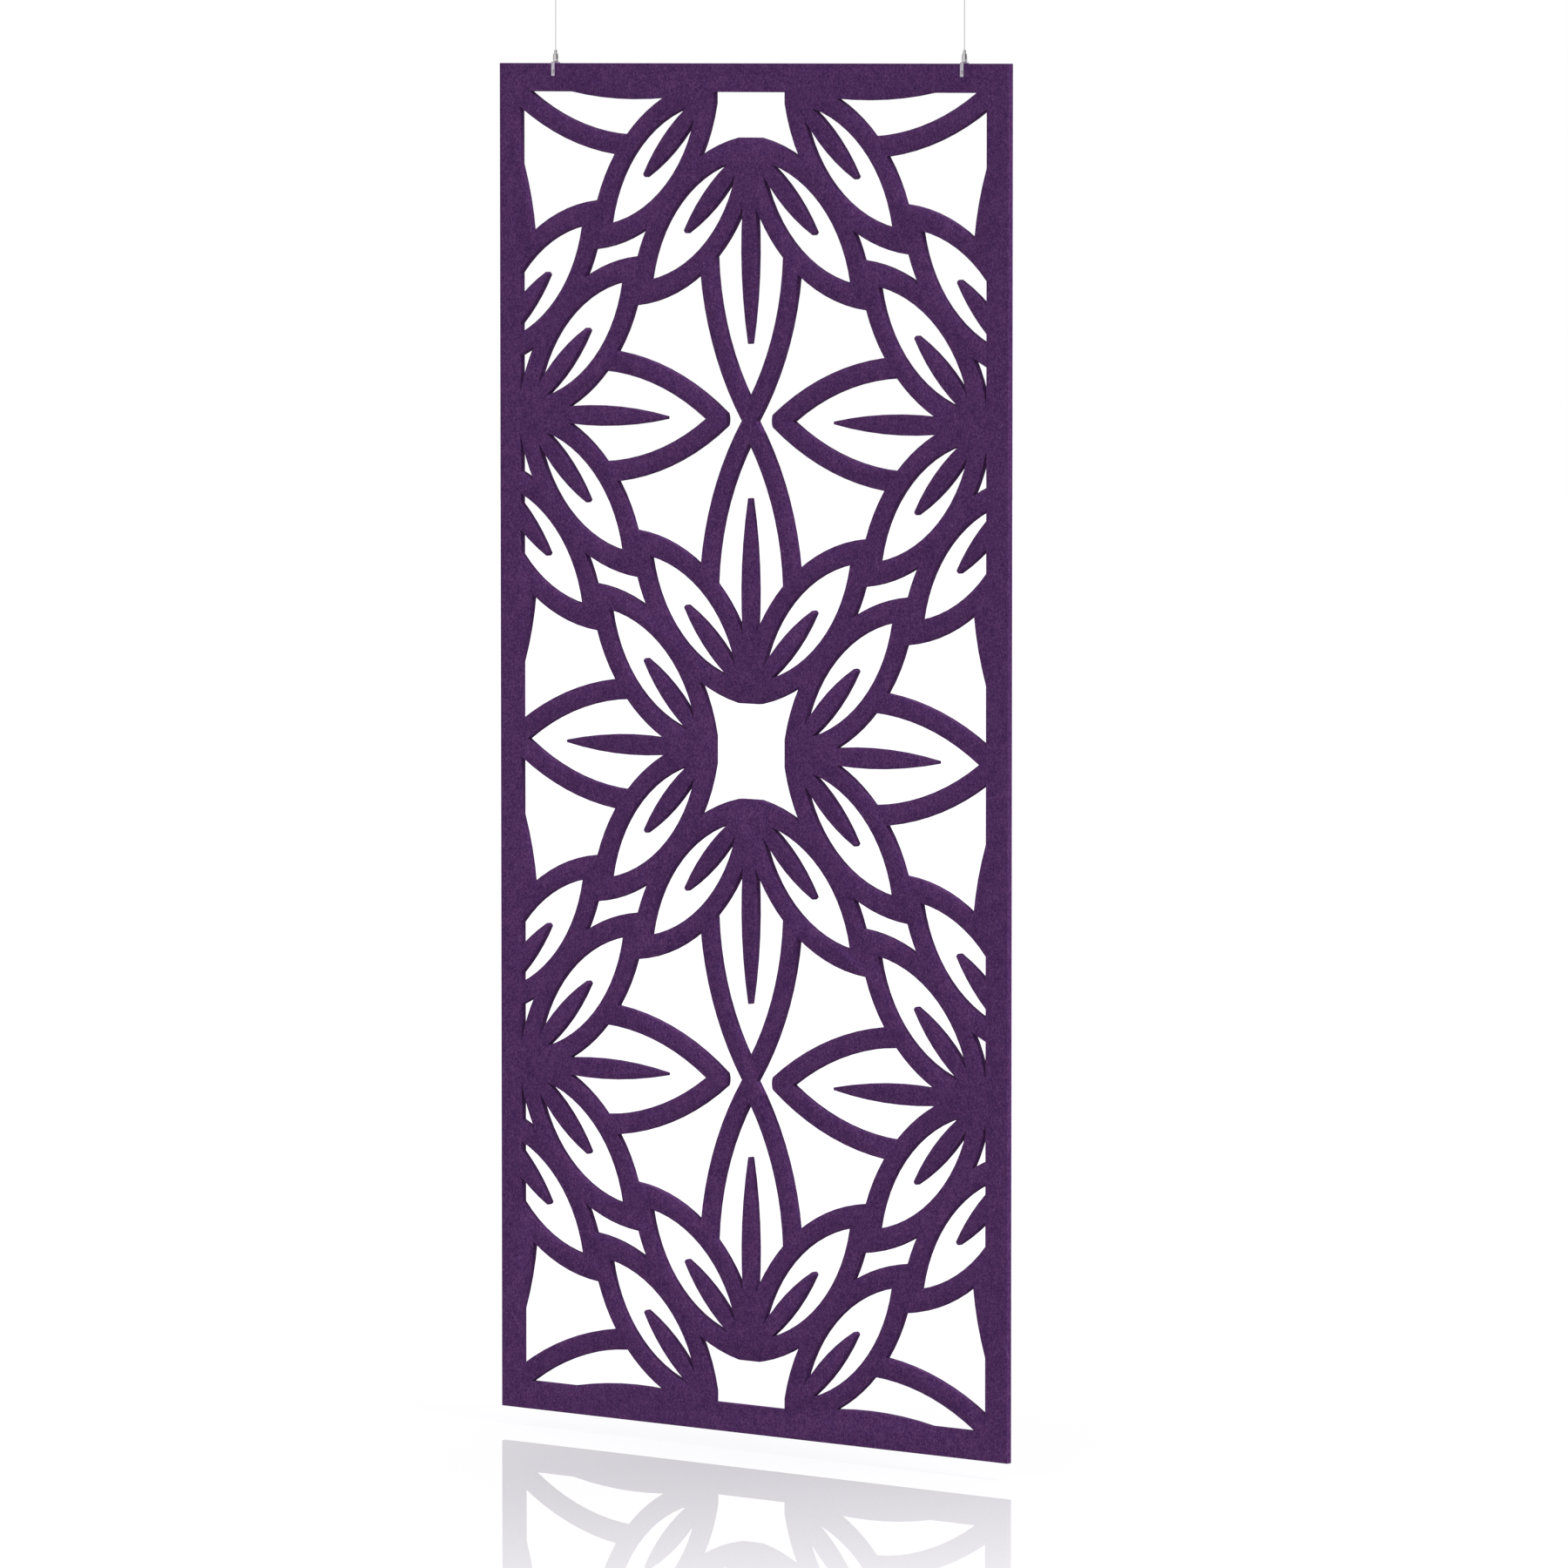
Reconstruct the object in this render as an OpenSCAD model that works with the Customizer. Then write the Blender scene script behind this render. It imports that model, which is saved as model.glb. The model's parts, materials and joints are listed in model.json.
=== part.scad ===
// Hanging room divider panel: a felt sheet cut through with a rosette fretwork,
// hung from the ceiling by two wire ropes. Each rope ends above in a ball in a
// ceiling cap, and below in a gripper that is screwed to a clamp on the sheet.
// Millimetres, +Z up, front towards -Y. The ceiling is the plane z = 0, and the
// origin lies midway between the two ceiling fittings.

/* [Felt panel] */
// Width of the sheet
panel_w = 1219; // [800:1:1800]
// Height of the sheet
panel_h = 2438; // [1400:1:3000]
// Thickness of the sheet
panel_t = 12; // [9:0.5:20]
// Uncut margin left all round the fretwork
border = 51; // [30:1:90]
// Height of the ceiling above the top edge of the sheet
drop = 150; // [140:1:160]

/* [Fretwork] */
// Sideways distance from one column of rosettes to the next
rosette_step_x = 647; // [600:1:700]
// Upward distance from one row of rosettes to the next
rosette_step_z = 586.5; // [560:0.5:620]
// How much further from the middle the rosettes of every second column lie
side_rise = 1.5; // [0:0.5:6]

/* [Long leaves] */
// Width of the opening in a long leaf
long_leaf_w = 163; // [120:1:180]
// Width of the felt band on either side of that opening
long_band = 39; // [25:1:50]
// Felt between the tip of the opening and the point of the leaf
long_point = 63; // [45:1:80]
// Distance from the rosette's centre to where the opening starts
long_root = 6; // [0:1:30]
// How far behind the rosette's centre the outline would start
long_back = 83; // [60:1:110]
// How far the points of two upright leaves cross
upright_lap = 23.5; // [15:0.5:35]
// Distance from the point of a level leaf to the line that it points at
level_gap = 42; // [35:1:60]
// How much of the point of a level leaf is cut off
level_blunt = 12.5; // [8:0.5:16]
// Radius of that blunt end
level_blunt_r = 30; // [26:1:40]
// Widest width of the midrib of a long leaf
long_rib_w = 37; // [20:1:45]
// Distance from the rosette's centre to the start of that midrib
long_rib_root = 99; // [80:1:110]
// Distance from the end of that midrib to the tip of the opening
long_rib_gap = 97; // [80:1:130]

/* [Side leaves] */
// Width of the opening in a side leaf
side_leaf_w = 95; // [75:1:105]
// Width of the felt band on either side of that opening
side_band = 35; // [25:1:42]
// Felt between the tip of the opening and the point of the leaf
side_point = 67; // [50:1:80]
// Distance of the leaf from the diagonal that it runs along
side_offset = 70; // [62:0.5:76]
// Distance along that diagonal to where the opening starts
side_root = 109; // [100:1:125]
// Distance along that diagonal to where the outline starts
side_back = 42; // [30:1:55]
// How far the points of two side leaves pass each other
side_lap = 41; // [30:1:50]
// How much is trimmed off where those leaves cross behind their starts
star_trim = 5.8; // [2:0.1:8]
// Widest width of the midrib of a side leaf
side_rib_w = 36; // [20:1:42]
// Distance along the diagonal to the start of that midrib
side_rib_root = 72; // [60:1:90]
// Distance from the end of that midrib to the tip of the opening
side_rib_gap = 121; // [90:1:140]
// How much of the point of every midrib is cut off
rib_blunt = 12; // [8:0.5:16]
// Radius of those blunt ends
rib_blunt_r = 8; // [6:0.5:12]

/* [Clamps] */
// Distance of the left clamp from the left edge of the sheet
clamp_in_left = 134; // [60:1:300]
// Distance of the right clamp from the right edge of the sheet
clamp_in_right = 107; // [60:1:300]
// Width of a clamp along the edge of the sheet
clamp_w = 8; // [7.6:0.2:16]
// How far the legs reach down over the sheet
leg_reach = 23; // [20:0.5:36]
// Thickness of a leg
leg_t = 1.4; // [1:0.1:3]
// Thickness of the bridge over the edge of the sheet
bridge_t = 2.4; // [1.8:0.1:5]
// Rounding of the two outer top corners
clamp_round = 2.2; // [1:0.1:2.4]
// Play between the sheet and the inside of a clamp
clamp_play = 0.1; // [0.05:0.05:0.5]

/* [Clamp screws] */
// Radius of the screw
screw_r = 1.5; // [1.25:0.05:2]
// Play round the screw in the clamp and the felt
screw_play = 0.1; // [0.05:0.05:0.3]
// Play between the screw and its nut
nut_play = 0.05; // [0.03:0.01:0.1]
// Depth of the screw below the top edge of the sheet
screw_down = 15; // [10:0.5:16]
// Radius of the screw head
head_r = 2.8; // [2.6:0.1:3.6]
// Height of the screw head
head_h = 2.4; // [1.8:0.1:3]
// Width of the hex socket across its corners
socket_w = 2.3; // [1.6:0.1:2.8]
// Depth of the hex socket
socket_d = 1.2; // [0.8:0.1:1.4]
// Width of the nut across its corners
nut_w = 6.35; // [5.8:0.05:7.4]
// Height of the nut
nut_h = 2.4; // [1.8:0.1:3]
// How far the screw stands out of its nut
screw_end = 0.5; // [0.2:0.1:2]

/* [Grippers] */
// Radius of the gripper's threaded stud
stud_r = 2.95; // [2.45:0.05:3]
// Play of the stud in the bridge of the clamp
stud_play = 0.05; // [0.03:0.01:0.1]
// Radius of the collar between the clamp and the barrel
collar_r = 4; // [3.9:0.1:4.8]
// Thickness of the collar
collar_h = 0.5; // [0.4:0.1:1]
// Radius of the plug on which the barrel is screwed
plug_r = 3.55; // [3.5:0.05:3.7]
// Height of that plug
plug_h = 2.2; // [1.6:0.1:3]
// Play between the plug and the barrel
plug_play = 0.05; // [0.03:0.01:0.1]
// Floor under the rope's end in the stud
stud_floor = 0.5; // [0.3:0.1:0.8]
// Outer radius of the barrel's lower half
barrel_r = 5.1; // [4.9:0.1:6]
// Outer radius of the barrel's top
barrel_top_r = 4.4; // [4.2:0.1:4.8]
// Height of the barrel
barrel_h = 14.3; // [14:0.1:16]
// Height at which the barrel starts to narrow
barrel_waist = 6; // [4:0.5:9]
// Bevel round the barrel's top
barrel_bevel = 0.6; // [0.3:0.1:0.9]
// Length of the throat at the barrel's top
throat_h = 1.5; // [1:0.1:2]
// Length of the cone in which the balls wedge
cone_h = 4.6; // [4:0.1:5]
// Slope of that cone
cone_slope = 7; // [6:0.5:8]

/* [Plungers] */
// Radius of the nozzle
nozzle_r = 2.8; // [2.6:0.05:2.8]
// Play of the nozzle in the throat of the barrel
nozzle_play = 0.05; // [0.03:0.01:0.08]
// How far the nozzle still stands out of the barrel when it is pressed
nozzle_grip = 4.2; // [3:0.1:6]
// Bevel round the nozzle's top
nozzle_bevel = 0.4; // [0.2:0.1:0.6]
// Radius of the flange that the spring pushes
flange_r = 3.3; // [3.2:0.05:3.35]
// Thickness of the flange
flange_h = 1; // [0.8:0.1:1.2]
// Distance from the flange's underside to the middle of the balls
flange_down = 3.6; // [3.5:0.1:3.8]
// Travel of the plunger when it is pressed
plunger_travel = 2; // [1:0.1:2.2]
// Play of the rope in the plunger
bore_play = 0.15; // [0.1:0.01:0.2]
// Radius of a gripper ball
ball_r = 1.19; // [1.1:0.01:1.25]
// Number of balls in a gripper
ball_count = 3; // [2:1:3]
// Play between a ball, the rope and the cone
ball_play = 0.015; // [0.01:0.001:0.03]
// Play of a ball in its window
window_play = 0.05; // [0.03:0.01:0.08]

/* [Gripper springs] */
// Thickness of the spring wire
spring_wire = 0.4; // [0.3:0.05:0.45]
// Middle radius of the spring
spring_r = 2.7; // [2.5:0.05:2.9]
// Number of curls
spring_curls = 4; // [3:0.5:4.5]

/* [Ropes and ceiling fittings] */
// Thickness of the wire rope
rope_d = 1.5; // [1.2:0.1:1.6]
// Radius of the ball on the rope's upper end
stop_r = 3; // [2.5:0.1:3.2]
// Play of the rope in that ball
stop_bore_play = 0.05; // [0.03:0.01:0.1]
// Depth of the ball's centre below the ceiling
stop_down = 17; // [17:0.5:18]
// Play of the ball in its seat
seat_play = 0.06; // [0.05:0.01:0.1]
// Outer radius of the ceiling cap and of the flange above it
cap_r = 8; // [7.5:0.1:12]
// Depth of the cap's underside below the ceiling
cap_down = 25; // [23:0.5:32]
// Bevel round the cap's underside
cap_bevel = 1; // [0.5:0.1:1.5]
// Thickness of the ceiling base's flange
base_flange_h = 3; // [2:0.1:5]
// Gap between that flange and the cap
cap_gap = 0.2; // [0.1:0.05:0.3]
// Radius of the boss that the cap is screwed on
boss_r = 6; // [5:0.1:6.5]
// Play of the cap on the boss
cap_play = 0.05; // [0.03:0.01:0.1]
// Depth of the boss's end below the ceiling
boss_down = 12; // [11:0.1:13]
// Space left under the boss
boss_space = 0.5; // [0.3:0.1:0.8]
// Radius of the chamber over the seat
chamber_r = 4.5; // [4.2:0.1:5]
// Radius of the threaded hole for the ceiling stud
mount_hole_r = 2.5; // [2:0.1:3]
// Depth of that hole
mount_hole_h = 9; // [6:0.1:10]
// Angle to which the panel can swing to the front and to the back
swing = 10; // [5:1:12]
// Play of the rope in the cap's outlet at the end of a swing
outlet_play = 0.35; // [0.3:0.05:0.5]

/* [Hidden] */
$fn = 72;
leaf_fn = 256;
cut_over = 1;

// the panel's place: the clamps hang under the ceiling fittings
hang_x = (panel_w - clamp_in_left - clamp_in_right) / 2;
panel_x = (clamp_in_right - clamp_in_left) / 2;
fret_w = panel_w - 2 * border;
fret_h = panel_h - 2 * border;

// the leaves, measured from a rosette's centre
upright_tip = rosette_step_z + upright_lap;
level_tip = rosette_step_x - level_gap;
side_tip = (rosette_step_x + rosette_step_z) / sqrt(8) + side_lap;
long_outline_w = long_leaf_w + 2 * long_band;
hub_r = side_back + side_root;
side_outline_w = side_leaf_w + 2 * side_band;
star_flat = (side_offset + side_back) / sqrt(2) + star_trim;
reach = max(upright_tip, level_tip, sqrt(2) * side_tip);
columns = ceil((fret_w / 2 + reach) / rosette_step_x);
rows = ceil((fret_h / 2 + reach) / rosette_step_z);

// the kit, with heights over the top edge of the sheet
leg_out = panel_t / 2 + clamp_play + leg_t;
bridge_top = clamp_play + bridge_t;
collar_top = bridge_top + collar_h;
plug_top = collar_top + plug_h;
barrel_top = collar_top + barrel_h;
bore_r = rope_d / 2 + bore_play;
ball_ring_r = rope_d / 2 + ball_play + ball_r;
throat_r = nozzle_r + nozzle_play;
cone_at_ball = ball_ring_r + (ball_r + ball_play) / cos(cone_slope);
cone_top = barrel_top - throat_h;
ball_z = cone_top - (cone_at_ball - throat_r) / tan(cone_slope);
cone_foot = cone_top - cone_h;
cone_foot_r = throat_r + cone_h * tan(cone_slope);
barrel_bore_r = plug_r + plug_play;
flange_z = ball_z - flange_down;
nozzle_top = barrel_top + plunger_travel + nozzle_grip;

// the route of a rope under its ceiling fitting, from its lower end up
rope_route = [
    [0, 0, -149], [0, 0, -140], [0, 0, -131], [0, 0, -122], [0, 0, -113], [0, 0, -104],
    [0, 0, -95], [0, 0, -86], [0, 0, -77], [0, 0, -68], [0, 0, -59], [0, 0, -50],
    [0, 0, -41], [0, 0, -32], [0, 0, -23], [0, 0, -14]];
rope_sides = 8;
rope_rings = 2;

// ---- shared shapes ----

// a leaf between two arcs along +X
module leaf(root, tip, width) {
    half = (tip - root) / 2;
    arc_r = (half * half + width * width / 4) / width;
    to_centre = arc_r - width / 2;
    translate([(root + tip) / 2, 0]) intersection() {
        translate([0, to_centre]) circle(arc_r, $fn = leaf_fn);
        translate([0, -to_centre]) circle(arc_r, $fn = leaf_fn);
    }
}

// the same leaf with its point cut off along an arc
module blunt_leaf(root, tip, width, blunt, blunt_r) difference() {
    leaf(root, tip, width);
    translate([tip - blunt - blunt_r, 0]) difference() {
        translate([0.3 * blunt_r, -width]) square([blunt_r + blunt, 2 * width]);
        circle(blunt_r, $fn = leaf_fn);
    }
}

// the centres of all rosettes that reach into the fretwork
function beyond(p) = max(0, abs(p.x) - fret_w / 2) + max(0, abs(p.y) - fret_h / 2);
function rosette(i, j) = [i * rosette_step_x,
    j * rosette_step_z + (i % 2 == 0 ? 0 : sign(j) * side_rise)];
rosettes = [for (i = [-columns:columns]) for (j = [-rows:rows])
    if ((i + j) % 2 == 0 && beyond(rosette(i, j)) < reach) rosette(i, j)];

// places its children, drawn along +X, as the long leaves of every rosette
module level_places() for (c = rosettes) for (a = [0, 180]) translate(c) rotate(a) children();
module upright_places() for (c = rosettes) for (a = [90, 270]) translate(c) rotate(a) children();
module side_places() for (c = rosettes) for (a = [45:90:315]) for (side = [-1, 1])
    translate(c) rotate(a) translate([0, side * side_offset]) children();

// what a long leaf's outline keeps: all but its opening, the midrib and the hub, which
// ends under the bands of the side leaves
module long_opening(tip) difference() {
    leaf(long_root, tip - long_point, long_leaf_w);
    blunt_leaf(long_rib_root, tip - long_point - long_rib_gap + rib_blunt, long_rib_w,
        rib_blunt, rib_blunt_r);
}
module hub_cut() translate([-reach, -reach]) square([reach + hub_r, 2 * reach]);
module level_leaf() difference() {
    blunt_leaf(-long_back, level_tip, long_outline_w, level_blunt, level_blunt_r);
    long_opening(level_tip);
    hub_cut();
}
module upright_leaf() difference() {
    leaf(-long_back, upright_tip, long_outline_w);
    long_opening(upright_tip);
    hub_cut();
}

module side_opening() difference() {
    leaf(side_root, side_tip - side_point, side_leaf_w);
    blunt_leaf(side_rib_root, side_tip - side_point - side_rib_gap + rib_blunt, side_rib_w,
        rib_blunt, rib_blunt_r);
}

module fretwork() difference() {
    union() {
        level_places() level_leaf();
        upright_places() upright_leaf();
        side_places() leaf(side_back, side_tip, side_outline_w);
    }
    side_places() side_opening();
    for (c = rosettes) translate(c) square(2 * star_flat, center = true);
}

// puts its children at the left or the right hanging point, under the ceiling
module at_ceiling(side) translate([side * hang_x, 0, 0]) children();
// puts its children there with z = 0 at the top edge of the sheet
module at_edge(side) translate([side * hang_x, 0, -drop]) children();

// ---- the sheet and its clamps ----

module felt_panel() color([0.286, 0.176, 0.341]) difference() {
    translate([panel_x, panel_t / 2, -drop - panel_h / 2]) rotate([90, 0, 0])
        linear_extrude(panel_t) union() {
            difference() {
                square([panel_w, panel_h], center = true);
                square([fret_w, fret_h], center = true);
            }
            intersection() {
                square([fret_w + border, fret_h + border], center = true);
                fretwork();
            }
        }
    for (side = [-1, 1]) at_edge(side) screw_hole(screw_r + screw_play, panel_t + 2 * cut_over);
}

module screw_hole(r, length) translate([0, 0, -screw_down]) rotate([90, 0, 0])
    cylinder(r = r, h = length, center = true);

// a strap bent over the edge of the sheet, with a threaded hole on top
module clamp() difference() {
    rotate([90, 0, 90]) linear_extrude(clamp_w, center = true) difference() {
        union() {
            translate([-leg_out, -leg_reach])
                square([2 * leg_out, leg_reach + bridge_top - clamp_round]);
            translate([clamp_round - leg_out, 0])
                square([2 * (leg_out - clamp_round), bridge_top]);
            for (s = [-1, 1]) translate([s * (leg_out - clamp_round), bridge_top - clamp_round])
                circle(clamp_round);
        }
        translate([leg_t - leg_out, -leg_reach - cut_over])
            square([2 * (leg_out - leg_t), leg_reach + cut_over + clamp_play]);
    }
    screw_hole(screw_r + screw_play, 2 * leg_out + 2 * cut_over);
    cylinder(r = stud_r + stud_play, h = bridge_top + cut_over);
}
module clamp_left() color([0.8, 0.78, 0.8]) at_edge(-1) clamp();
module clamp_right() color([0.8, 0.78, 0.8]) at_edge(1) clamp();

module clamp_screw() translate([0, -leg_out, -screw_down]) rotate([-90, 0, 0]) difference() {
    union() {
        translate([0, 0, -head_h]) cylinder(r1 = 0.75 * head_r, r2 = head_r, h = head_h / 2);
        translate([0, 0, -head_h / 2]) cylinder(r = head_r, h = head_h / 2);
        cylinder(r = screw_r, h = 2 * leg_out + nut_h + screw_end);
    }
    translate([0, 0, -head_h - cut_over])
        cylinder(r = socket_w / 2, h = socket_d + cut_over, $fn = 6);
}
module clamp_screws() color([0.75, 0.74, 0.76]) for (side = [-1, 1]) at_edge(side) clamp_screw();

module clamp_nut() translate([0, leg_out, -screw_down]) rotate([-90, 0, 0]) difference() {
    cylinder(r = nut_w / 2, h = nut_h, $fn = 6);
    translate([0, 0, -cut_over]) cylinder(r = screw_r + nut_play, h = nut_h + 2 * cut_over);
}
module clamp_nuts() color([0.7, 0.69, 0.71]) for (side = [-1, 1]) at_edge(side) clamp_nut();

// ---- the grippers ----

// a threaded stud, a collar and a plug in one turned piece, drilled for the rope's end
module gripper_stem() rotate_extrude() polygon([
    [0, clamp_play], [stud_r, clamp_play], [stud_r, bridge_top], [collar_r, bridge_top],
    [collar_r, collar_top], [plug_r, collar_top], [plug_r, plug_top], [bore_r, plug_top],
    [bore_r, clamp_play + stud_floor], [0, clamp_play + stud_floor]]);
module gripper_stem_left() color([0.6, 0.6, 0.62]) at_edge(-1) gripper_stem();
module gripper_stem_right() color([0.6, 0.6, 0.62]) at_edge(1) gripper_stem();

// a turned barrel, whose bore narrows in a cone that wedges the balls on the rope
module gripper_barrel() rotate_extrude() polygon([
    [barrel_bore_r, collar_top], [barrel_r, collar_top], [barrel_r, collar_top + barrel_waist],
    [barrel_top_r, barrel_top - barrel_bevel], [barrel_top_r - barrel_bevel, barrel_top],
    [throat_r, barrel_top], [throat_r, cone_top], [cone_foot_r, cone_foot],
    [barrel_bore_r, cone_foot]]);
module gripper_barrel_left() color([0.78, 0.77, 0.8]) at_edge(-1) gripper_barrel();
module gripper_barrel_right() color([0.78, 0.77, 0.8]) at_edge(1) gripper_barrel();

// places its children, drawn along +X, at each ball of a gripper
module at_balls() for (i = [0:ball_count - 1]) rotate(90 + i * 360 / ball_count)
    translate([ball_ring_r, 0, ball_z]) children();

// the pressed nozzle with its flange, in which the balls sit in round windows
module plunger() difference() {
    rotate_extrude() polygon([
        [bore_r, flange_z], [flange_r, flange_z], [flange_r, flange_z + flange_h],
        [nozzle_r, flange_z + flange_h], [nozzle_r, nozzle_top - nozzle_bevel],
        [nozzle_r - nozzle_bevel, nozzle_top], [bore_r, nozzle_top]]);
    at_balls() translate([-ball_ring_r, 0, 0]) rotate([0, 90, 0])
        cylinder(r = ball_r + window_play, h = 2 * nozzle_r);
}
module plunger_left() color([0.72, 0.71, 0.74]) at_edge(-1) plunger();
module plunger_right() color([0.72, 0.71, 0.74]) at_edge(1) plunger();

module gripper_balls() at_balls() sphere(ball_r);
module gripper_balls_left() color([0.85, 0.85, 0.87]) at_edge(-1) gripper_balls();
module gripper_balls_right() color([0.85, 0.85, 0.87]) at_edge(1) gripper_balls();

// the spring: a round wire along a helix from the plug up to the flange
spring_play = 0.05;
spring_foot = plug_top + spring_wire / 2 + spring_play;
spring_head = flange_z - spring_wire / 2 - spring_play;
spring_steps = 8 * spring_curls;
spring_line = [for (i = [0:spring_steps]) [
    spring_r * cos(360 * i / 8), spring_r * sin(360 * i / 8),
    spring_foot + (spring_head - spring_foot) * i / spring_steps]];
spring_gap = min([for (i = [0:spring_steps - 5]) for (j = [i + 5:spring_steps])
    norm(spring_line[i] - spring_line[j])]) - spring_wire;
echo(spring_gap = spring_gap);
module gripper_spring() tube(spring_line, spring_wire / 2, 6, [0, 0, 1]);
module gripper_spring_left() color([0.6, 0.6, 0.6]) at_edge(-1) gripper_spring();
module gripper_spring_right() color([0.6, 0.6, 0.6]) at_edge(1) gripper_spring();

// one closed tube along a line of points; up is never parallel to the line
function unit(v) = v / norm(v);
function along(line, i) = unit(line[min(i + 1, len(line) - 1)] - line[max(i - 1, 0)]);
function ring(centre, dir, r, sides, up) =
    let (u = unit(cross(up, dir)), v = cross(dir, u))
    [for (k = [0:sides - 1]) centre + r * (cos(360 * k / sides) * u + sin(360 * k / sides) * v)];
module tube(line, r, sides, up) {
    n = len(line);
    points = concat([for (i = [0:n - 1]) each ring(line[i], along(line, i), r, sides, up)],
        [line[0], line[n - 1]]);
    walls = [for (i = [0:n - 2]) for (k = [0:sides - 1])
        let (a = i * sides + k, b = i * sides + (k + 1) % sides)
        each [[a, a + sides, b], [b, a + sides, b + sides]]];
    ends = [for (k = [0:sides - 1]) let (l = (k + 1) % sides, m = (n - 1) * sides)
        each [[n * sides, k, l], [n * sides + 1, m + l, m + k]]];
    polyhedron(points, concat(walls, ends));
}

// ---- the ropes and the ceiling fittings ----

rope_line = [for (i = [0:(len(rope_route) - 1) * rope_rings])
    let (k = min(floor(i / rope_rings), len(rope_route) - 2), f = i / rope_rings - k)
    rope_route[k] + f * (rope_route[k + 1] - rope_route[k])];
module rope() tube(rope_line, rope_d / 2, rope_sides, [1, 0, 0]);
module rope_left() color([0.75, 0.75, 0.77]) at_ceiling(-1) rope();
module rope_right() color([0.75, 0.75, 0.77]) at_ceiling(1) rope();

module rope_stop() translate([0, 0, -stop_down]) difference() {
    sphere(stop_r);
    cylinder(r = rope_d / 2 + stop_bore_play, h = 2 * stop_r + cut_over, center = true);
}
module rope_stop_left() color([0.7, 0.7, 0.72]) at_ceiling(-1) rope_stop();
module rope_stop_right() color([0.7, 0.7, 0.72]) at_ceiling(1) rope_stop();

// the cap holds the ball in a round seat, and opens below in a cone for the swing
outlet_r = rope_d / 2 + outlet_play;
module ceiling_cap() difference() {
    rotate_extrude() polygon([
        [0, -base_flange_h - cap_gap], [cap_r, -base_flange_h - cap_gap],
        [cap_r, cap_bevel - cap_down], [cap_r - cap_bevel, -cap_down], [0, -cap_down]]);
    translate([0, 0, -boss_down - boss_space])
        cylinder(r = boss_r + cap_play, h = boss_down + boss_space);
    translate([0, 0, -stop_down]) cylinder(r = chamber_r, h = stop_down - boss_down);
    translate([0, 0, -stop_down]) sphere(stop_r + seat_play);
    translate([0, 0, -cap_down - cut_over]) cylinder(
        r1 = outlet_r + (cap_down + cut_over - stop_down) * tan(swing),
        r2 = outlet_r, h = cap_down + cut_over - stop_down);
}
module ceiling_cap_left() color([0.78, 0.77, 0.8]) at_ceiling(-1) ceiling_cap();
module ceiling_cap_right() color([0.78, 0.77, 0.8]) at_ceiling(1) ceiling_cap();

// the base is screwed under the ceiling, and the cap is screwed on its boss
module ceiling_base() difference() {
    union() {
        translate([0, 0, -base_flange_h]) cylinder(r = cap_r, h = base_flange_h);
        translate([0, 0, -boss_down]) cylinder(r = boss_r, h = boss_down);
    }
    translate([0, 0, -mount_hole_h]) cylinder(r = mount_hole_r, h = mount_hole_h + cut_over);
}
module ceiling_base_left() color([0.78, 0.77, 0.8]) at_ceiling(-1) ceiling_base();
module ceiling_base_right() color([0.78, 0.77, 0.8]) at_ceiling(1) ceiling_base();

felt_panel();
clamp_left();
clamp_right();
clamp_screws();
clamp_nuts();
gripper_stem_left();
gripper_stem_right();
gripper_barrel_left();
gripper_barrel_right();
plunger_left();
plunger_right();
gripper_balls_left();
gripper_balls_right();
gripper_spring_left();
gripper_spring_right();
rope_left();
rope_right();
rope_stop_left();
rope_stop_right();
ceiling_cap_left();
ceiling_cap_right();
ceiling_base_left();
ceiling_base_right();
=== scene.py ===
import json
import math
import bpy
import bmesh
from mathutils import Matrix, Vector

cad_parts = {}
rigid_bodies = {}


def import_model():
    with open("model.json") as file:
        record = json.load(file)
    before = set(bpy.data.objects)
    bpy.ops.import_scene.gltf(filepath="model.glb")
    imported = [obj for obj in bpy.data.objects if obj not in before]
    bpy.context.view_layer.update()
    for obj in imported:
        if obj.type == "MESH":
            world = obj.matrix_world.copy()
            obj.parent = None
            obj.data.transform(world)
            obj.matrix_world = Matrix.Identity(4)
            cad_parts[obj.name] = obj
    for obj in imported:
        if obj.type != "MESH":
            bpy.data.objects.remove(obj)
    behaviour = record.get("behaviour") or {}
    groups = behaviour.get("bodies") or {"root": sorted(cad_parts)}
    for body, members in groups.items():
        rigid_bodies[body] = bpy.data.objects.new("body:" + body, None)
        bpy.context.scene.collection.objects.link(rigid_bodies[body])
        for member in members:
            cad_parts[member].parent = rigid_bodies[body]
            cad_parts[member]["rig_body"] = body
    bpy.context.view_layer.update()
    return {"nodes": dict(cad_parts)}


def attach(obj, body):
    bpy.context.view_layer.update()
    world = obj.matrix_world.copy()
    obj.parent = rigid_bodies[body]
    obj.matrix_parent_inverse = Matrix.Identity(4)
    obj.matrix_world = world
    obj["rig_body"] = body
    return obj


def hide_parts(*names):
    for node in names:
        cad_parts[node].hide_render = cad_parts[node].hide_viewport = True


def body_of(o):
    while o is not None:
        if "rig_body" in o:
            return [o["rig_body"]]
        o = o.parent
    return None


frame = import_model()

nodes = frame["nodes"]
sides = ("left", "right")


# ---- camera ----
# a long lens far away, to the right of the panel and level with its top edge
cameraSettings = dict(place=(12.9855, -14.217, -0.1181), yaw=42.264, pitch=-3.887, lens=249.65,
                      sensor=36, clipStart=0.5, clipEnd=60)


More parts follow.
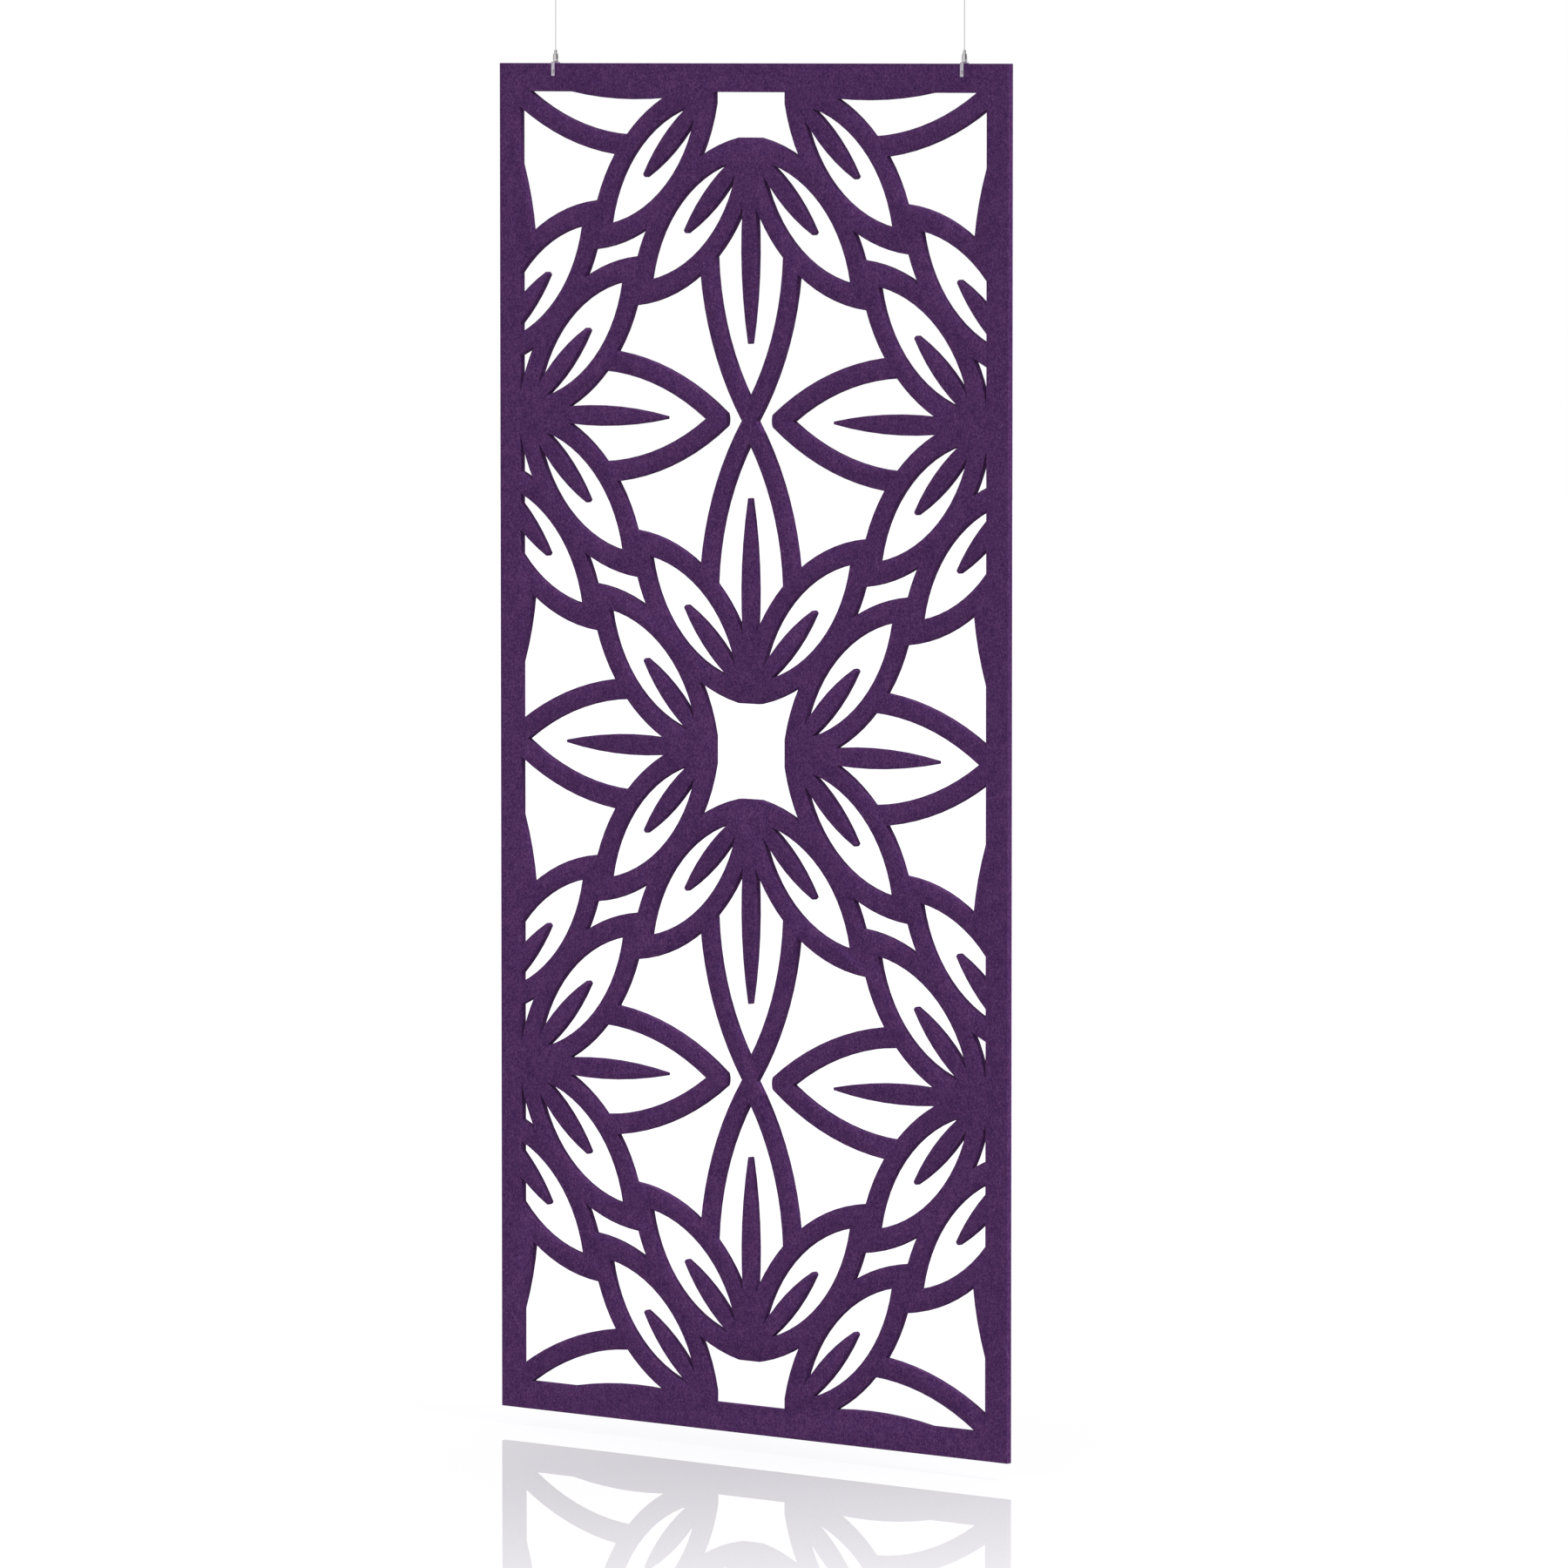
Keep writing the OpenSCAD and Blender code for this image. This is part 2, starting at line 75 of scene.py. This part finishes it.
def makeCamera(settings):
    data = bpy.data.cameras.new("camera")
    data.lens = settings["lens"]
    data.sensor_width = settings["sensor"]
    data.clip_start = settings["clipStart"]
    data.clip_end = settings["clipEnd"]
    obj = bpy.data.objects.new("camera", data)
    bpy.context.scene.collection.objects.link(obj)
    obj.location = settings["place"]
    obj.rotation_euler = (math.radians(90 + settings["pitch"]), 0, math.radians(settings["yaw"]))
    bpy.context.scene.camera = obj


makeCamera(cameraSettings)
bpy.context.scene.view_settings.view_transform = "Standard"
print("camera placed")


# ---- helpers for bmesh pieces ----
def finishPiece(bm, name, body, material, sharpAngle=32):
    # turns a bmesh into an object that rides on its body, with its place in its mesh
    for edge in bm.edges:
        if len(edge.link_faces) == 2:
            edge.smooth = edge.calc_face_angle(0) < math.radians(sharpAngle)
    for face in bm.faces:
        face.smooth = True
    mesh = bpy.data.meshes.new(name)
    bm.to_mesh(mesh)
    bm.free()
    mesh.materials.append(material)
    obj = bpy.data.objects.new(name, mesh)
    bpy.context.scene.collection.objects.link(obj)
    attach(obj, body)
    return obj


def mergedCopy(nodeName, weld=0.000002):
    # a CAD node's loose triangles as one closed mesh
    bm = bmesh.new()
    bm.from_mesh(nodes[nodeName].data)
    bmesh.ops.remove_doubles(bm, verts=bm.verts, dist=weld)
    return bm


def flattenFaces(bm, angle):
    # joins the triangles of every flat face into one face
    bmesh.ops.dissolve_limit(bm, angle_limit=math.radians(angle), use_dissolve_boundaries=False,
                             verts=bm.verts, edges=bm.edges, delimit={"NORMAL"})


def sharpEdges(bm, angle):
    return [e for e in bm.edges
            if len(e.link_faces) == 2 and e.calc_face_angle(0) > math.radians(angle)]


def roundEdges(bm, edges, width, clamp):
    bmesh.ops.bevel(bm, geom=edges, offset=width, offset_type="OFFSET", segments=2,
                    profile=0.5, affect="EDGES", clamp_overlap=clamp, material=-1)


# ---- shader helpers ----
def addNode(tree, kind, **values):
    node = tree.nodes.new(kind)
    for key, value in values.items():
        setattr(node, key, value)
    return node


def feed(tree, node, inputs):
    # a number, vector or colour is set on its socket, and another node's output is linked to it
    for key, value in inputs.items():
        if isinstance(value, (int, float, tuple)):
            node.inputs[key].default_value = value
        else:
            tree.links.new(value, node.inputs[key])


def mathNode(tree, operation, *values, clamp=False):
    node = addNode(tree, "ShaderNodeMath", operation=operation, use_clamp=clamp)
    feed(tree, node, dict(enumerate(values)))
    return node.outputs[0]


def weighted(tree, value, weight):
    return mathNode(tree, "MULTIPLY", value, weight)


def noiseNode(tree, vector, scale, detail, roughness):
    node = addNode(tree, "ShaderNodeTexNoise")
    feed(tree, node, {"Vector": vector, "Scale": scale, "Detail": detail, "Roughness": roughness})
    return node.outputs["Fac"]


def stretchNode(tree, vector, scale):
    node = addNode(tree, "ShaderNodeMapping")
    feed(tree, node, {"Vector": vector, "Scale": scale})
    return node.outputs["Vector"]


def scaledPlace(tree, vector, stretch, perSize):
    # a place stretched by fixed amounts and then divided by the size of a pattern
    node = addNode(tree, "ShaderNodeVectorMath", operation="SCALE")
    feed(tree, node, {0: stretchNode(tree, vector, stretch), "Scale": perSize})
    return node.outputs[0]


def mixColours(tree, factor, first, second):
    node = addNode(tree, "ShaderNodeMix", data_type="RGBA", blend_type="MIX")
    feed(tree, node, {0: factor, 6: first, 7: second})
    return node.outputs[2]


def mixShaders(tree, factor, first, second):
    node = addNode(tree, "ShaderNodeMixShader")
    feed(tree, node, {0: factor, 1: first, 2: second})
    return node.outputs[0]


def smoothStep(tree, value, start, end, low, high):
    # runs softly from low at start to high at end
    node = addNode(tree, "ShaderNodeMapRange", interpolation_type="SMOOTHSTEP")
    feed(tree, node, {"Value": value, "From Min": start, "From Max": end,
                      "To Min": low, "To Max": high})
    return node.outputs[0]


def linearColour(red, green, blue):
    # a colour as a screen shows it, 0 to 255, as the linear values that a shader takes
    values = []
    for c in (red, green, blue):
        c = c / 255
        values.append(c / 12.92 if c <= 0.04045 else ((c + 0.055) / 1.055) ** 2.4)
    return (values[0], values[1], values[2], 1.0)


def newMaterial(name):
    material = bpy.data.materials.new(name)
    material.use_nodes = True
    tree = material.node_tree
    tree.nodes.clear()
    output = tree.nodes.new("ShaderNodeOutputMaterial")
    return material, tree, output


def addPrincipled(tree, output, height, bumpStrength, bumpDistance, inputs):
    # a Principled shader over a bump of the given height
    bump = addNode(tree, "ShaderNodeBump")
    feed(tree, bump, {"Strength": bumpStrength, "Distance": bumpDistance, "Height": height})
    shader = addNode(tree, "ShaderNodeBsdfPrincipled")
    feed(tree, shader, inputs)
    tree.links.new(bump.outputs["Normal"], shader.inputs["Normal"])
    tree.links.new(shader.outputs[0], output.inputs["Surface"])


def newGroup(name, numbers, outputs):
    # a node group with a vector and some numbers going in, and numbers coming out
    group = bpy.data.node_groups.new(name, "ShaderNodeTree")
    group.interface.new_socket(name="Vector", in_out="INPUT", socket_type="NodeSocketVector")
    for label, value in numbers.items():
        socket = group.interface.new_socket(name=label, in_out="INPUT", socket_type="NodeSocketFloat")
        socket.default_value = value
    for label in outputs:
        group.interface.new_socket(name=label, in_out="OUTPUT", socket_type="NodeSocketFloat")
    start = group.nodes.new("NodeGroupInput")
    end = group.nodes.new("NodeGroupOutput")
    return group, start.outputs, end


def placeGroup(tree, group, inputs):
    node = addNode(tree, "ShaderNodeGroup", node_tree=group)
    feed(tree, node, inputs)
    return node.outputs


# ---- shared effects ----
# turns are in radians; a hair is a thin line where a noise passes its middle value
fibreStyle = dict(strandTurns=(0.25, 1.3, 2.35), strandStretch=(1, 1, 0.13),
                  lightHairs=(0.15, 1.75), darkHairs=(0.95, 2.6), hairStretch=(1, 1, 0.07),
                  hairWidth=0.05, mottleStretch=(1, 1, 0.8), patchStretch=(0.22, 0.22, 0.2),
                  mottleHeight=0.7, hairHeight=0.2)


def makeFibreGroup(style):
    # needled felt: strands and single hairs that lie in several directions, over soft mottles
    group, start, end = newGroup("needledFibres", {"Strand Size": 0.0004, "Mottle Size": 0.0028},
                                 ("Strands", "Hairs", "Mottles", "Patches", "Height"))
    place = start["Vector"]
    perStrand = mathNode(group, "DIVIDE", 1.0, start["Strand Size"])
    perMottle = mathNode(group, "DIVIDE", 1.0, start["Mottle Size"])

    def turnedNoise(turn, stretch, detail, roughness):
        turned = addNode(group, "ShaderNodeVectorRotate", rotation_type="Y_AXIS")
        feed(group, turned, {"Vector": place, "Angle": turn})
        along = scaledPlace(group, turned.outputs[0], stretch, perStrand)
        return noiseNode(group, along, 1.0, detail, roughness)

    strands = 0.0
    for turn in style["strandTurns"]:
        layer = turnedNoise(turn, style["strandStretch"], 2.0, 0.6)
        strands = mathNode(group, "ADD", layer, strands)
    strands = mathNode(group, "DIVIDE", strands, len(style["strandTurns"]))
    hairs = 0.0
    for turns, sign in ((style["lightHairs"], 1), (style["darkHairs"], -1)):
        for turn in turns:
            layer = turnedNoise(turn, style["hairStretch"], 1.0, 0.5)
            offMiddle = mathNode(group, "ABSOLUTE", mathNode(group, "SUBTRACT", layer, 0.5))
            across = mathNode(group, "DIVIDE", offMiddle, style["hairWidth"])
            line = mathNode(group, "SUBTRACT", 1.0, across, clamp=True)
            hairs = mathNode(group, "ADD", weighted(group, line, sign), hairs)
    mottlePlace = scaledPlace(group, place, style["mottleStretch"], perMottle)
    patchPlace = scaledPlace(group, place, style["patchStretch"], perMottle)
    mottles = noiseNode(group, mottlePlace, 1.0, 3.0, 0.65)
    patches = noiseNode(group, patchPlace, 1.0, 2.0, 0.55)
    height = mathNode(group, "ADD", strands, weighted(group, mottles, style["mottleHeight"]))
    height = mathNode(group, "ADD", height, weighted(group, hairs, style["hairHeight"]))
    feed(group, end, {"Strands": strands, "Hairs": hairs, "Mottles": mottles,
                      "Patches": patches, "Height": height})
    return group


metalStyle = dict(lineStretch=(0.08, 0.08, 1), cloudScale=420, cloudShare=0.6, markScale=1500,
                  markShare=0.4, leastRough=0.72, roughSpread=0.56)


def makeMetalGroup(style):
    # plated metal: fine turning or brushing lines, faint cloudiness and handling marks
    group, start, end = newGroup("platedMetal", {"Line Size": 0.00012, "Roughness": 0.25},
                                 ("Tone", "Roughness", "Height"))
    place = start["Vector"]
    perLine = mathNode(group, "DIVIDE", 1.0, start["Line Size"])
    lines = noiseNode(group, scaledPlace(group, place, style["lineStretch"], perLine), 1.0, 2.0, 0.5)
    clouds = noiseNode(group, place, style["cloudScale"], 3.0, 0.6)
    marks = noiseNode(group, place, style["markScale"], 4.0, 0.7)
    tone = mathNode(group, "ADD", weighted(group, clouds, style["cloudShare"]),
                    weighted(group, marks, style["markShare"]))
    spread = mathNode(group, "ADD", style["leastRough"], weighted(group, tone, style["roughSpread"]))
    feed(group, end, {"Tone": tone, "Roughness": weighted(group, start["Roughness"], spread),
                      "Height": lines})
    return group


fibreGroup = makeFibreGroup(fibreStyle)
metalGroup = makeMetalGroup(metalStyle)


# ---- materials ----
# sizes are in metres; a gain is how far a pattern moves the felt's tone or hue
feltLook = dict(dark=(33, 7, 46), base=(71, 40, 85), light=(110, 79, 124), red=(79, 41, 84),
                blue=(67, 43, 89), tintShare=0.35, strandSize=0.0004, mottleSize=0.0034,
                strandGain=1.8, hairGain=0.32, mottleGain=1.82, patchGain=1.9, patchShade=0.4,
                bumpStrength=0.2, bumpDistance=0.0004, specular=0.02, sheen=0.02,
                sheenRoughness=0.5, sheenTint=(190, 160, 205))


def makeFeltMaterial(look):
    material, tree, output = newMaterial("purpleFelt")
    place = addNode(tree, "ShaderNodeTexCoord").outputs["Object"]
    fibres = placeGroup(tree, fibreGroup, {"Vector": place, "Strand Size": look["strandSize"],
                                           "Mottle Size": look["mottleSize"]})

    def aroundHalf(name, gain):
        return weighted(tree, mathNode(tree, "SUBTRACT", fibres[name], 0.5), gain)

    # light and dark strands lie over the dyed base, and patches lean to red or to blue
    grain = mathNode(tree, "ADD", aroundHalf("Strands", look["strandGain"]),
                     aroundHalf("Mottles", look["mottleGain"]))
    grain = mathNode(tree, "ADD", grain, weighted(tree, fibres["Hairs"], look["hairGain"]))
    shaded = mathNode(tree, "ADD", grain, aroundHalf("Patches", look["patchShade"]))
    level = mathNode(tree, "ADD", shaded, 0.5, clamp=True)
    hue = mathNode(tree, "ADD", aroundHalf("Patches", look["patchGain"]), 0.5, clamp=True)
    tint = mixColours(tree, hue, linearColour(*look["blue"]), linearColour(*look["red"]))
    ramp = addNode(tree, "ShaderNodeValToRGB")
    ramp.color_ramp.elements.new(0.5)
    for stop, name in zip(ramp.color_ramp.elements, ("dark", "base", "light")):
        stop.color = linearColour(*look[name])
    feed(tree, ramp, {0: level})
    colour = mixColours(tree, look["tintShare"], ramp.outputs["Color"], tint)
    addPrincipled(tree, output, fibres["Height"], look["bumpStrength"], look["bumpDistance"],
                  {"Base Color": colour, "Roughness": 1.0,
                   "Specular IOR Level": look["specular"], "Sheen Weight": look["sheen"],
                   "Sheen Roughness": look["sheenRoughness"],
                   "Sheen Tint": linearColour(*look["sheenTint"])})
    return material


# the colour, the roughness, and how metallic each finish is
# the clamp nickel's lilac tint is a painted reflection of the purple felt around it
metalFinishes = dict(satinNickelWithPaintedFeltReflection=((208, 199, 214), 0.42, 1.0),
                     zincedSteel=((205, 202, 208), 0.34, 1.0),
                     # the stem steel's dark colour is painted shade, standing for the shadowed neck
                     # between the barrel and the clamp's bridge
                     darkStemSteelPaintedShade=((78, 78, 81), 0.35, 1.0),
                     brightNickel=((206, 204, 205), 0.14, 1.0),
                     nozzleNickel=((206, 204, 206), 0.2, 1.0),
                     polishedSteel=((216, 216, 218), 0.08, 1.0),
                     springWire=((170, 170, 172), 0.3, 1.0),
                     ropeWire=((196, 196, 199), 0.35, 0.6),
                     swagedSteel=((188, 188, 191), 0.32, 1.0),
                     ceilingNickel=((216, 214, 217), 0.22, 1.0))
metalSurface = dict(lineSize=0.00012, wornShare=0.82, bumpStrength=0.15, bumpDistance=0.00003)


def makeMetalMaterial(name, colour, roughness, metallic, surface):
    material, tree, output = newMaterial(name)
    place = addNode(tree, "ShaderNodeTexCoord").outputs["Object"]
    metal = placeGroup(tree, metalGroup, {"Vector": place, "Roughness": roughness,
                                          "Line Size": surface["lineSize"]})
    plain = linearColour(*colour)
    worn = tuple(c * surface["wornShare"] for c in plain[:3]) + (1.0,)
    shade = mixColours(tree, metal["Tone"], worn, plain)
    addPrincipled(tree, output, metal["Height"], surface["bumpStrength"], surface["bumpDistance"],
                  {"Base Color": shade, "Roughness": metal["Roughness"], "Metallic": metallic})
    return material


felt = makeFeltMaterial(feltLook)
metals = {name: makeMetalMaterial(name, *finish, metalSurface)
          for name, finish in metalFinishes.items()}
print("materials made")


# ---- wire ropes ----
# each rope runs straight up from its end in the stem, leaves the gripper at exitZ, and ends in
# the ball in the ceiling cap; a lay length is one whole turn of its strands
rope = dict(diameter=0.0015, hangX=0.489, bottom=-0.149, top=-0.014, step=0.009, exitZ=-0.1265,
            layLength=0.0098, strands=6, sidesPerStrand=4, grooveDepth=0.2, ringsPerLay=22)


def makeRope(settings, side):
    # a ring with a lobe for each strand is drawn out along the rope, turning as it goes
    x = settings["hangX"] * (-1 if side == "left" else 1)
    bm = bmesh.new()
    perLobe = settings["sidesPerStrand"]
    bmesh.ops.create_circle(bm, cap_ends=True, segments=settings["strands"] * perLobe,
                            radius=settings["diameter"] / 2)
    ordered = sorted(bm.verts, key=lambda v: math.atan2(v.co.y, v.co.x))
    for index, vert in enumerate(ordered):
        phase = (index % perLobe) / perLobe
        groove = 0.5 + 0.5 * math.cos(2 * math.pi * phase)
        vert.co *= 1 - settings["grooveDepth"] * groove
    bmesh.ops.translate(bm, verts=bm.verts, vec=(x, 0, settings["bottom"]))
    length = settings["top"] - settings["bottom"]
    rings = round(length / settings["layLength"] * settings["ringsPerLay"])
    turn = Matrix.Rotation(2 * math.pi / settings["ringsPerLay"], 3, "Z")
    face = bm.faces[:]
    for index in range(rings):
        grown = bmesh.ops.extrude_face_region(bm, geom=face, use_keep_orig=(index == 0))
        verts = [g for g in grown["geom"] if isinstance(g, bmesh.types.BMVert)]
        face = [g for g in grown["geom"] if isinstance(g, bmesh.types.BMFace)]
        bmesh.ops.translate(bm, verts=verts, vec=(0, 0, length / rings))
        bmesh.ops.rotate(bm, verts=verts, cent=(x, 0, 0), matrix=turn)
    bmesh.ops.recalc_face_normals(bm, faces=bm.faces)
    obj = finishPiece(bm, "wireRope." + side, "hanging_panel", metals["ropeWire"], sharpAngle=60)
    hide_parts("rope_" + side)


for side in sides:
    makeRope(rope, side)
print("wire ropes made")


# ---- felt panel ----
panel = dict(flatAngle=0.3, shortEdge=0.0008, cornerAngle=60, softEdge=0.0007, shadeAngle=25)


def makePanel(settings):
    # the edges of the front and the back are softened, and the walls' own corners stay sharp
    bm = mergedCopy("felt_panel")
    flattenFaces(bm, settings["flatAngle"])
    bmesh.ops.dissolve_degenerate(bm, dist=settings["shortEdge"], edges=bm.edges)
    rims = [e for e in sharpEdges(bm, settings["cornerAngle"])
            if abs(e.verts[0].co.y - e.verts[1].co.y) < 1e-6]
    roundEdges(bm, rims, settings["softEdge"], clamp=False)
    obj = finishPiece(bm, "feltPanel", "hanging_panel", felt, sharpAngle=settings["shadeAngle"])
    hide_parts("felt_panel")


makePanel(panel)
print("felt panel made")


# ---- metal pieces ----
# the finish, the slot and the rounding of the edges, where 0 keeps the node's own shape
metalPieces = {"clamp": ("satinNickelWithPaintedFeltReflection", "clamp_steel", 0.00025),
               "gripper_stem": ("darkStemSteelPaintedShade", "stem_steel", 0),
               "gripper_barrel": ("brightNickel", "barrel_nickel", 0.00022),
               "plunger": ("nozzleNickel", "nozzle_nickel", 0.00012),
               "gripper_balls": ("polishedSteel", "ball_steel", 0),
               "gripper_spring": ("springWire", "spring_steel", 0),
               "rope_stop": ("swagedSteel", "stop_steel", 0),
               "ceiling_cap": ("ceilingNickel", "ceiling_nickel", 0.0003),
               "ceiling_base": ("ceilingNickel", "ceiling_nickel", 0.0003)}
metalFasteners = {"clamp_screws": ("zincedSteel", "screw_steel", 0.00015),
                  "clamp_nuts": ("zincedSteel", "screw_steel", 0.0003)}
metalEdges = dict(flatAngle=0.4, cornerAngle=30)


def dressNode(name, finish):
    obj = nodes[name]
    obj.data.materials.clear()
    obj.data.materials.append(metals[finish])


def makeMetalPiece(name, finish, rounding, settings):
    # the node's own shape with rounded edges, under the node's name in camelCase
    bm = mergedCopy(name)
    flattenFaces(bm, settings["flatAngle"])
    roundEdges(bm, sharpEdges(bm, settings["cornerAngle"]), rounding, clamp=True)
    first, *others = name.split("_")
    pieceName = first + "".join(word.capitalize() for word in others)
    obj = finishPiece(bm, pieceName, body_of(nodes[name])[0], metals[finish])
    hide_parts(name)


def finishMetal(name, finish, slot, rounding):
    if rounding:
        makeMetalPiece(name, finish, rounding, metalEdges)
    else:
        dressNode(name, finish)


for kind, look in metalPieces.items():
    for side in sides:
        finishMetal(kind + "_" + side, *look)
for name, look in metalFasteners.items():
    finishMetal(name, *look)
print("metal pieces made")


# ---- floor, world and lamps ----
# level is the floor's height; the mirror fades with the distance from the Z axis, of which the Y
# part counts fadeDepth times, and a fadeStart below 0 has it fading under the panel already
floor = dict(level=-2.620, size=40.0, tone=(0.945, 0.93, 0.966), shadowGrey=0.12, bounceGrey=0.3,
             mirror=0.48, fadeStart=-0.52, fadeEnd=3.8, fadeDepth=0.72)


def greyDiffuse(tree, grey):
    node = addNode(tree, "ShaderNodeBsdfDiffuse")
    feed(tree, node, {"Color": (grey, grey, grey, 1)})
    return node.outputs[0]


def makeFloorMaterial(settings):
    # to the camera it is pale, takes a faint shadow and mirrors the panel; a metal's reflection
    # sees it white, and any other light meets plain grey
    material, tree, output = newMaterial("paleFloor")
    path = addNode(tree, "ShaderNodeLightPath").outputs
    pale = addNode(tree, "ShaderNodeEmission")
    feed(tree, pale, {"Color": settings["tone"] + (1,)})
    seen = addNode(tree, "ShaderNodeAddShader")
    feed(tree, seen, {0: pale.outputs[0], 1: greyDiffuse(tree, settings["shadowGrey"])})
    # the mirror image is clearest under the panel and fades to nothing away from it
    place = addNode(tree, "ShaderNodeTexCoord").outputs["Object"]
    distance = addNode(tree, "ShaderNodeVectorMath", operation="LENGTH")
    feed(tree, distance, {0: stretchNode(tree, place, (1.0, settings["fadeDepth"], 0.0))})
    fade = smoothStep(tree, distance.outputs["Value"], settings["fadeStart"], settings["fadeEnd"],
                      settings["mirror"], 0.0)
    mirror = addNode(tree, "ShaderNodeBsdfGlossy")
    feed(tree, mirror, {"Roughness": 0.0})
    polished = mixShaders(tree, fade, seen.outputs[0], mirror.outputs[0])
    white = addNode(tree, "ShaderNodeEmission")
    reflected = mathNode(tree, "MAXIMUM", path["Is Glossy Ray"], path["Is Transmission Ray"])
    offCamera = mixShaders(tree, reflected, greyDiffuse(tree, settings["bounceGrey"]),
                           white.outputs[0])
    floorShader = mixShaders(tree, path["Is Camera Ray"], offCamera, polished)
    tree.links.new(floorShader, output.inputs["Surface"])
    return material


def makeFloor(settings):
    bm = bmesh.new()
    bmesh.ops.create_grid(bm, x_segments=2, y_segments=2, size=settings["size"])
    bmesh.ops.translate(bm, verts=bm.verts, vec=(0, 0, settings["level"]))
    mesh = bpy.data.meshes.new("floor")
    bm.to_mesh(mesh)
    bm.free()
    mesh.materials.append(makeFloorMaterial(settings))
    obj = bpy.data.objects.new("floor", mesh)
    bpy.context.scene.collection.objects.link(obj)


# azimuth 0 is in front of the panel and 90 to its right, and widths are half widths in degrees
studio = dict(ambient=0.88, softEdge=8, screens=(dict(azimuth=100, width=30, darkness=0.93),
                                                 dict(azimuth=-78, width=24, darkness=0.6)))


def makeWorld(settings):
    # white to the camera and in mirrors, where two dark screens shape the metal's reflections
    world = bpy.data.worlds.new("studio")
    world.use_nodes = True
    bpy.context.scene.world = world
    tree = world.node_tree
    tree.nodes.clear()
    output = tree.nodes.new("ShaderNodeOutputWorld")
    path = addNode(tree, "ShaderNodeLightPath").outputs
    direction = addNode(tree, "ShaderNodeTexCoord").outputs["Generated"]
    level = addNode(tree, "ShaderNodeVectorMath", operation="NORMALIZE")
    feed(tree, level, {0: stretchNode(tree, direction, (1, 1, 0))})
    soft = settings["softEdge"]
    mirrored = 1.0
    for screen in settings["screens"]:
        azimuth = math.radians(screen["azimuth"])
        towards = addNode(tree, "ShaderNodeVectorMath", operation="DOT_PRODUCT")
        feed(tree, towards, {0: level.outputs[0], 1: (math.sin(azimuth), -math.cos(azimuth), 0)})
        edges = [math.cos(math.radians(screen["width"] + turn)) for turn in (soft, -soft)]
        shade = smoothStep(tree, towards.outputs["Value"], *edges, 1.0, 1 - screen["darkness"])
        mirrored = weighted(tree, shade, mirrored)
    # the floor is the one perfectly sharp mirror, and it doesn't see the screens
    mirrored = mathNode(tree, "MAXIMUM", mirrored, path["Is Singular Ray"])
    seen = mathNode(tree, "MAXIMUM", path["Is Camera Ray"], path["Is Transmission Ray"])
    ambient = settings["ambient"]
    strength = mathNode(tree, "ADD", weighted(tree, seen, 1 - ambient), ambient)
    choice = addNode(tree, "ShaderNodeMix", data_type="FLOAT")
    feed(tree, choice, {0: path["Is Glossy Ray"], 2: strength, 3: mirrored})
    background = addNode(tree, "ShaderNodeBackground")
    feed(tree, background, {"Color": (1, 1, 1, 1), "Strength": choice.outputs[0]})
    tree.links.new(background.outputs[0], output.inputs["Surface"])


# each lamp's direction is from the panel towards the lamp, and its softness is in degrees
lamps = dict(key=dict(towards=(0.6, -0.05, 0.79), strength=3.2, softness=14),
             fill=dict(towards=(-0.35, -0.85, 0.39), strength=0.67, softness=30),
             back=dict(towards=(-0.6, 0.7, 0.4), strength=0.7, softness=50))


def makeLamp(name, settings):
    data = bpy.data.lights.new(name, "SUN")
    data.energy = settings["strength"]
    data.angle = math.radians(settings["softness"])
    obj = bpy.data.objects.new(name, data)
    bpy.context.scene.collection.objects.link(obj)
    obj.rotation_euler = Vector(settings["towards"]).to_track_quat("Z", "Y").to_euler()
    obj.visible_glossy = False


makeFloor(floor)
makeWorld(studio)
for name, lamp in lamps.items():
    makeLamp(name + "Lamp", lamp)
print("studio made")
